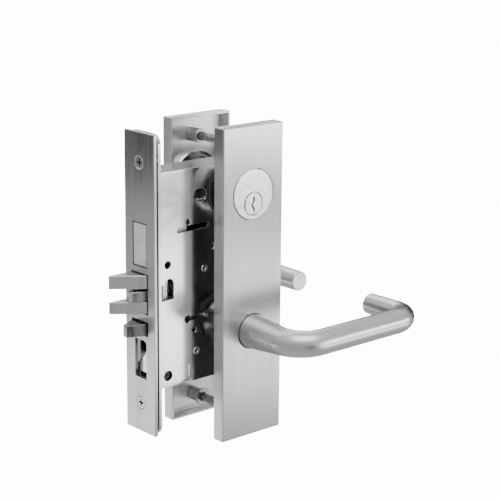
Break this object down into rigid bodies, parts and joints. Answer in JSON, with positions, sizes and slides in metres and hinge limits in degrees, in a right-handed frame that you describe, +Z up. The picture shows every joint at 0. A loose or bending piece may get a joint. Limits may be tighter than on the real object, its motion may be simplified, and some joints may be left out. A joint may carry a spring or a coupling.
{
  "type": "mortise lock",
  "caption": "Cased mortise lock with a front plate, deadbolt, latch and auxiliary latch, a keyed cylinder, and return-bend levers on rectangular escutcheons.",
  "frame": {"origin": "middle of the front plate's front face, on the door's mid-plane", "axes": "+X into the door from its edge, -Y towards the outside of the door, +Y towards the inside, +Z up"},
  "size_m": [0.2041, 0.1768, 0.215],
  "materials": {
    "satin_stainless": "satin, vertical grain",
    "zinc_plated_steel": "bright zinc plate",
    "bolt_stainless": "satin cast stainless",
    "dark_steel": "black oxide",
    "satin_nickel": "satin nickel plate",
    "spring_wire": "drawn wire",
    "sintered_bronze": "sintered bronze"
  },
  "bodies": {
    "lock": {"front_plate": "satin_stainless", "armor_plate": "zinc_plated_steel", "front_screw_top": "satin_nickel", "front_screw_bottom": "satin_nickel", "case_box": "zinc_plated_steel", "case_cover": "zinc_plated_steel", "case_post_front": "dark_steel", "case_post_top": "dark_steel", "case_post_bottom": "dark_steel", "case_screw_front": "satin_nickel", "case_screw_top": "satin_nickel", "case_screw_bottom": "satin_nickel", "cylinder_support_ring": "dark_steel", "cylinder_set_screw": "dark_steel", "deadbolt_guide_post": "dark_steel", "latch_guide": "zinc_plated_steel", "latch_spring": "spring_wire", "guard_guide": "zinc_plated_steel", "guard_spring": "spring_wire", "deadlock_pin": "dark_steel", "hub_stop_pin": "dark_steel", "outside_escutcheon": "satin_stainless", "inside_escutcheon": "satin_stainless", "inside_post_top": "dark_steel", "inside_post_bottom": "dark_steel", "outside_post_top": "dark_steel", "outside_post_bottom": "dark_steel", "through_bolt_top": "dark_steel", "through_bolt_bottom": "dark_steel", "outside_bushing": "sintered_bronze", "inside_bushing": "sintered_bronze", "outside_lever_spring": "spring_wire", "inside_lever_spring": "spring_wire", "cylinder_body": "satin_nickel", "thumbturn_plate": "zinc_plated_steel"},
    "outside_lever": {"outside_lever": "satin_stainless", "outside_set_screw": "dark_steel", "outside_spindle": "zinc_plated_steel", "outside_retainer": "zinc_plated_steel", "outside_hub": "zinc_plated_steel"},
    "inside_lever": {"inside_lever": "satin_stainless", "inside_set_screw": "dark_steel", "inside_spindle": "zinc_plated_steel", "inside_retainer": "zinc_plated_steel", "inside_hub": "zinc_plated_steel"},
    "latch": {"latch_bolt": "bolt_stainless", "tongue_pin": "dark_steel"},
    "latch_tongue": {"latch_tongue": "bolt_stainless"},
    "deadbolt": {"deadbolt": "bolt_stainless"},
    "thumbturn": {"thumbturn_knob": "satin_stainless", "thumbturn_spindle": "zinc_plated_steel", "deadbolt_hub": "zinc_plated_steel"},
    "guard_latch": {"guard_latch": "bolt_stainless"},
    "deadlock_lever": {"deadlock_lever": "zinc_plated_steel"},
    "hub_stop": {"hub_stop": "zinc_plated_steel"},
    "cylinder_plug": {"cylinder_plug": "satin_nickel", "cylinder_cam": "zinc_plated_steel", "cam_screw_left": "dark_steel", "cam_screw_right": "dark_steel"}
  },
  "joints": [
    {"name": "outside_lever_turn", "type": "hinge", "parent": "lock", "child": "outside_lever", "pos_m": [0.06985, -0.0322, -0.0379], "axis": [0, 1, 0], "range_deg": [0, 50], "stiffness_Nm_per_rad": 1.6, "springref_deg": -40.11},
    {"name": "inside_lever_turn", "type": "hinge", "parent": "lock", "child": "inside_lever", "pos_m": [0.06985, 0.0322, -0.0379], "axis": [0, 1, 0], "range_deg": [0, 50], "stiffness_Nm_per_rad": 1.6, "springref_deg": -40.11},
    {"name": "latch_slide", "type": "slide", "parent": "lock", "child": "latch", "axis": [1, 0, 0], "range_m": [0, 0.01905], "deforming": ["latch_spring"]},
    {"name": "tongue_tilt", "type": "hinge", "parent": "latch", "child": "latch_tongue", "pos_m": [0.01, 0.0061, -0.00545], "axis": [0, 0, -1], "range_deg": [0, 12], "stiffness_Nm_per_rad": 0.02, "springref_deg": -11.46},
    {"name": "thumbturn_turn", "type": "hinge", "parent": "lock", "child": "thumbturn", "pos_m": [0.06985, 0.0322, 0.05665], "axis": [0, 1, 0], "range_deg": [0, 90]},
    {"name": "deadbolt_slide", "type": "slide", "parent": "lock", "child": "deadbolt", "axis": [-1, 0, 0], "range_m": [0, 0.0254]},
    {"name": "guard_latch_slide", "type": "slide", "parent": "lock", "child": "guard_latch", "axis": [1, 0, 0], "range_m": [0, 0.012], "stiffness_N_per_m": 300, "springref_m": -0.012, "deforming": ["guard_spring"]},
    {"name": "deadlock_turn", "type": "hinge", "parent": "lock", "child": "deadlock_lever", "pos_m": [0.046, 0.0035, -0.021], "axis": [0, -1, 0], "range_deg": [0, 12]},
    {"name": "hub_stop_tilt", "type": "hinge", "parent": "lock", "child": "hub_stop", "pos_m": [0.029, 0, -0.0526], "axis": [0, -1, 0], "range_deg": [0, 5]},
    {"name": "plug_turn", "type": "hinge", "parent": "lock", "child": "cylinder_plug", "pos_m": [0.06985, -0.0322, 0.05025], "axis": [0, 1, 0], "continuous": true}
  ],
  "couplings": [
    {"joint": "latch_slide", "follows": "outside_lever_turn", "m_per_rad": 0.02183},
    {"joint": "thumbturn_turn", "follows": "deadbolt_slide", "rad_per_m": 61.84},
    {"joint": "deadlock_turn", "follows": "guard_latch_slide", "rad_per_m": 17.45}
  ]
}
